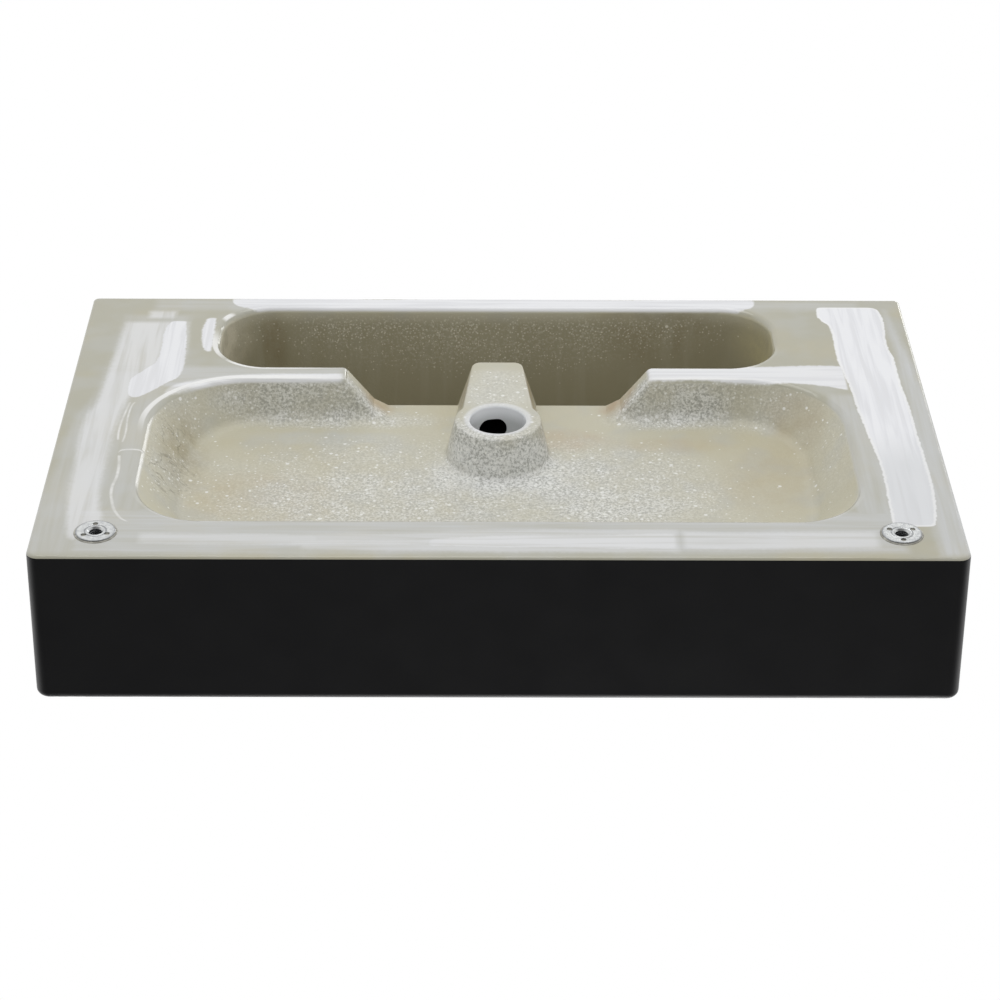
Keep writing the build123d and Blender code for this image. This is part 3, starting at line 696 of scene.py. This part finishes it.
painted = add_node(ware, "ShaderNodeMixRGB", {0: shade, 1: GLAZE_AND_REFLECTION_WHITE, 2: GLAZE_AND_REFLECTION_STREAK})
painted = add_node(ware, "ShaderNodeMixRGB", {
    0: mask(ware, near(*LOW_BAND_MM), 0.7), 1: painted, 2: THIN_WHITE})
rinsed = mask(ware, (from_drain, 31.0, 27.0), (z, underside_mm + 12, underside_mm + 10), 0.6)
# the bore's white glaze, painted greyer deeper up the bore: painted shade inside it
bore_glaze = add_node(ware, "ShaderNodeMixRGB", {
    0: mask(ware, (z, 9.0, 22.0)), 1: BORE_WHITE, 2: BORE_PAINTED_SHADE})
for cover, colour in (
        (white, painted), (mask(ware, rim, 0.6), RIM_WHITE), (mask(ware, lines, 0.9), HIGHLIGHT_WHITE),
        (rinsed, RINSED_WHITE), (in_bore, bore_glaze), (in_duct, DUCT_PAINTED_SHADOW)):
    coat = add_node(ware, "ShaderNodeMixRGB", {0: cover, 1: coat, 2: colour})
ware.links.new(coat.outputs[0], body.inputs["Base Color"])
print("glaze laid")

# %% [markdown]
# Gloss follows the same zones: glaze is smooth, and bare or speckled body is dull. The
# relief is small: slow waves where glaze pooled, grit in the pockets, and a bead of glaze
# along the gathered lines and lips. It is kept cheap, because a bump is worked out three
# times for each place that light meets.

# %% Fireclay: gloss and relief
FRAME_ROUGHNESS, POCKET_ROUGHNESS = 0.12, 0.5
STROKE_ROUGHNESS = 0.25
BORE_ROUGHNESS = 0.14
WAVE_MM, WAVE_HEIGHT_MM = 28.57, 0.3
GRIT_MM, GRIT_HEIGHT_MM = 2.381, 0.35
LINE_HEIGHT_MM = 0.3

gloss = add_node(ware, "ShaderNodeMapRange", {0: in_pocket, 3: FRAME_ROUGHNESS, 4: POCKET_ROUGHNESS})
gloss = add_node(ware, "ShaderNodeMix", {0: white, 2: gloss, 3: STROKE_ROUGHNESS}, data_type="FLOAT")
gloss = add_node(ware, "ShaderNodeMix", {0: in_bore, 2: gloss, 3: BORE_ROUGHNESS}, data_type="FLOAT")
ware.links.new(gloss.outputs[0], body.inputs["Roughness"])

waves = add_node(ware, "ShaderNodeTexNoise", {"Vector": place, "Scale": 1 / WAVE_MM, "Detail": 1.0})
grit = add_node(ware, "ShaderNodeTexNoise", {
    "Vector": place, "Scale": 1 / GRIT_MM, "Detail": 2.0, "Roughness": 0.7})
height = add_node(ware, "ShaderNodeMath", {0: waves, 1: WAVE_HEIGHT_MM}, operation="MULTIPLY")
for bumps, amount in ((mask(ware, grit, in_pocket), GRIT_HEIGHT_MM), (lines, LINE_HEIGHT_MM)):
    height = add_node(ware, "ShaderNodeMath", {0: bumps, 1: amount, 2: height}, operation="MULTIPLY_ADD")
relief = add_node(ware, "ShaderNodeBump", {"Height": height, "Distance": MM, "Strength": 1.0})
ware.links.new(relief.outputs[0], body.inputs["Normal"])
finish_with(fireclay, "basin_body")
print("fireclay has", len(ware.nodes), "nodes")

# %% [markdown]
# The apron, sides, rim and bowl carry a black glaze fired to a satin. It is glass with black
# pigment, so its colour is nearly nothing and all its light is mirrored softly. A very fine
# pebble breaks the mirror up, as on a satin glaze.

# %% Black satin glaze
CLOUDY_MM = 45.5
PEBBLE_MM = 1.43
PEBBLE_HEIGHT_MM = 0.03

satin = bpy.data.materials.new("black_satin_glaze")
satin.use_nodes = True
dark = satin.node_tree
glass = dark.nodes["Principled BSDF"]
glass.inputs["Base Color"].default_value = linear("#131315")
dark_place = add_node(dark, "ShaderNodeTexCoord").outputs["Object"]
cloudy = add_node(dark, "ShaderNodeTexNoise", {
    "Vector": dark_place, "Scale": 1 / (CLOUDY_MM * MM), "Detail": 3.0})
softness = add_node(dark, "ShaderNodeMapRange", {0: cloudy, 1: 0.3, 2: 0.7, 3: 0.34, 4: 0.42})
dark.links.new(softness.outputs[0], glass.inputs["Roughness"])
pebble = add_node(dark, "ShaderNodeTexNoise", {
    "Vector": dark_place, "Scale": 1 / (PEBBLE_MM * MM), "Detail": 1.0})
pebbled = add_node(dark, "ShaderNodeBump", {
    "Height": pebble, "Distance": PEBBLE_HEIGHT_MM * MM, "Strength": 1.0})
dark.links.new(pebbled.outputs[0], glass.inputs["Normal"])
finish_with(satin, "black_glaze")
print("black glaze done")

# %% [markdown]
# The leg nuts are turned steel with bright zinc plating, a little dulled. A groove runs round
# each flange where its barrel was pressed in. The flange's rim is painted darker, as painted
# shade along its edge, and so is the bore, as painted shade inside it. The groove and the rim
# are worked out from the distance to the nut's own axis, the bore from height.

# %% Zinc-plated steel: places round each nut's axis
GROOVE_RADIUS_MM = 8.6
RIM_RADIUS_MM = 15.0

zinc = bpy.data.materials.new("zinc_plated_steel")
zinc.use_nodes = True
plating = zinc.node_tree
steel = plating.nodes["Principled BSDF"]
steel.inputs["Metallic"].default_value = 1.0
steel_place = add_node(plating, "ShaderNodeTexCoord")
steel_mm = add_node(plating, "ShaderNodeVectorMath", {
    0: steel_place.outputs["Object"], "Scale": 1 / MM}, operation="SCALE")
steel_x, steel_y, steel_z = add_node(plating, "ShaderNodeSeparateXYZ", {0: steel_mm}).outputs
folded_x = add_node(plating, "ShaderNodeMath", {0: steel_x}, operation="ABSOLUTE")
level_steel = add_node(plating, "ShaderNodeCombineXYZ", {"X": folded_x, "Y": steel_y})
from_axis = add_node(plating, "ShaderNodeVectorMath", {
    0: level_steel, 1: (nut_mm[0], nut_mm[1], 0)}, operation="DISTANCE").outputs["Value"]
off_groove = add_node(plating, "ShaderNodeMath", {
    0: from_axis, 1: GROOVE_RADIUS_MM}, operation="SUBTRACT")
off_groove = add_node(plating, "ShaderNodeMath", {0: off_groove}, operation="ABSOLUTE")
groove = mask(plating, (off_groove, 0.9, 0.3))
# painted shade along the flange's edge
shaded_rim = mask(plating, (from_axis, RIM_RADIUS_MM - 0.6, RIM_RADIUS_MM + 0.6))
# painted shade inside the bore, from its mouth inwards
in_barrel = mask(plating, (steel_z, 0.6, 3.0))
print("groove at radius", GROOVE_RADIUS_MM, "mm")

# %% Zinc-plated steel: colour, gloss, groove and painted shade
CLOUDING_MM = 3.33
GROOVE_DEPTH_MM = 0.25
ZINC_GREY = linear("#C2C4C5")
ZINC_BRIGHT = linear("#D2D4D3")
DULLED_AND_SHADED = linear("#5E6166")

clouding = add_node(plating, "ShaderNodeTexNoise", {
    "Vector": steel_mm, "Scale": 1 / CLOUDING_MM, "Detail": 3.0})
metal = add_node(plating, "ShaderNodeMixRGB", {
    0: mask(plating, (clouding, 0.4, 0.65)), 1: ZINC_GREY, 2: ZINC_BRIGHT})
# the groove is a dark joint; the rim and the barrel are painted shade
for dull, strength in ((groove, 0.6), (shaded_rim, 0.55), (in_barrel, 0.7)):
    metal = add_node(plating, "ShaderNodeMixRGB", {0: mask(plating, dull, strength), 1: metal, 2: DULLED_AND_SHADED})
plating.links.new(metal.outputs[0], steel.inputs["Base Color"])
steel_rough = add_node(plating, "ShaderNodeMapRange", {0: clouding, 1: 0.3, 2: 0.7, 3: 0.22, 4: 0.40})
plating.links.new(steel_rough.outputs[0], steel.inputs["Roughness"])
turned = add_node(plating, "ShaderNodeBump", {
    "Height": mask(plating, groove, -1.0), "Distance": GROOVE_DEPTH_MM * MM, "Strength": 1.0})
plating.links.new(turned.outputs[0], steel.inputs["Normal"])
finish_with(zinc, "leg_insert_left", "leg_insert_right")
print("zinc done")

# %% [markdown]
# An M12 thread runs up inside each nut. The bore has the size drilled for it, where the
# thread's crests are, so a low ridge on a helix stands for them. It follows a path, so
# Geometry Nodes draw it: a spiral, a small four-sided section carried along it, and the
# steel on it.

# %% Nut threads: the tree
THREAD_SOCKETS = {
    "Radius": "NodeSocketFloat", "Pitch": "NodeSocketFloat", "Turns": "NodeSocketFloat",
    "Ridge": "NodeSocketFloat", "Place": "NodeSocketVector", "Finish": "NodeSocketMaterial"}
STEPS_A_TURN = 28

threading = bpy.data.node_groups.new("helical_thread", "GeometryNodeTree")
for socket_name, kind in THREAD_SOCKETS.items():
    threading.interface.new_socket(socket_name, in_out="INPUT", socket_type=kind)
threading.interface.new_socket("Mesh", in_out="OUTPUT", socket_type="NodeSocketGeometry")
given = add_node(threading, "NodeGroupInput").outputs
rise = add_node(threading, "ShaderNodeMath", {0: given["Pitch"], 1: given["Turns"]}, operation="MULTIPLY")
helix = add_node(threading, "GeometryNodeCurveSpiral", {
    "Resolution": STEPS_A_TURN, "Rotations": given["Turns"],
    "Start Radius": given["Radius"], "End Radius": given["Radius"], "Height": rise})
section = add_node(threading, "GeometryNodeCurvePrimitiveCircle", {
    "Resolution": 4, "Radius": given["Ridge"]})
ridge = add_node(threading, "GeometryNodeCurveToMesh", {
    0: helix, 1: section.outputs["Curve"], "Fill Caps": True})
raised = add_node(threading, "GeometryNodeTransform", {"Geometry": ridge, "Translation": given["Place"]})
real = add_node(threading, "GeometryNodeRealizeInstances", {0: raised})
plated = add_node(threading, "GeometryNodeSetMaterial", {"Geometry": real, "Material": given["Finish"]})
add_node(threading, "NodeGroupOutput", {0: plated})
thread_inputs = {item.name: item.identifier
                 for item in threading.interface.items_tree if item.in_out == "INPUT"}
print("thread inputs", list(thread_inputs))

# %% Nut threads: one in each nut
THREAD_PITCH_MM = 1.75
THREAD_TURNS = 12.5
THREAD_MIDDLE_RADIUS_MM = 5.2
THREAD_RIDGE_MM = 0.45      # half the section: its root is sunk in the bore's wall, its crest shows
THREAD_START_MM = 2.2

for side_name, side_sign in (("left", -1), ("right", 1)):
    piece_name = f"insert_thread_{side_name}"
    thread = bpy.data.objects.new(piece_name, bpy.data.meshes.new(piece_name))
    scene.collection.objects.link(thread)
    foot = [side_sign * nut_mm[0] * MM, nut_mm[1] * MM, THREAD_START_MM * MM]
    sizes = {
        "Radius": THREAD_MIDDLE_RADIUS_MM * MM, "Pitch": THREAD_PITCH_MM * MM, "Turns": THREAD_TURNS,
        "Ridge": THREAD_RIDGE_MM * MM, "Place": foot, "Finish": zinc}
    shaping = thread.modifiers.new("threading", "NODES")
    shaping.node_group = threading
    for name, value in sizes.items():
        shaping[thread_inputs[name]] = value
    shaped = thread.evaluated_get(bpy.context.evaluated_depsgraph_get())
    cut_thread = bpy.data.meshes.new_from_object(shaped)
    thread.modifiers.clear()
    thread.data = cut_thread
    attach(thread, "root")
    print(thread.name, len(cut_thread.polygons), "faces")

# %% [markdown]
# The nuts are bonded in with polyester resin. It squeezed out round the flanges as a bead
# that has greyed, glossy where it set free and dusty elsewhere.

# %% Bonding resin
DUST_MM = 7.14
RESIN_DARK = linear("#8E8C83")
RESIN_DUSTY = linear("#BDBBB1")

resin = bpy.data.materials.new("polyester_bonding_resin")
resin.use_nodes = True
cured = resin.node_tree
squeezed = cured.nodes["Principled BSDF"]
resin_place = add_node(cured, "ShaderNodeTexCoord")
dust = add_node(cured, "ShaderNodeTexNoise", {
    "Vector": resin_place.outputs["Object"], "Scale": 1 / (DUST_MM * MM), "Detail": 2.0})
resin_tint = add_node(cured, "ShaderNodeMixRGB", {
    0: mask(cured, (dust, 0.4, 0.65)), 1: RESIN_DARK, 2: RESIN_DUSTY})
cured.links.new(resin_tint.outputs[0], squeezed.inputs["Base Color"])
resin_rough = add_node(cured, "ShaderNodeMapRange", {0: dust, 1: 0.3, 2: 0.7, 3: 0.25, 4: 0.55})
cured.links.new(resin_rough.outputs[0], squeezed.inputs["Roughness"])
finish_with(resin, "insert_resin_left", "insert_resin_right")
print("resin done")
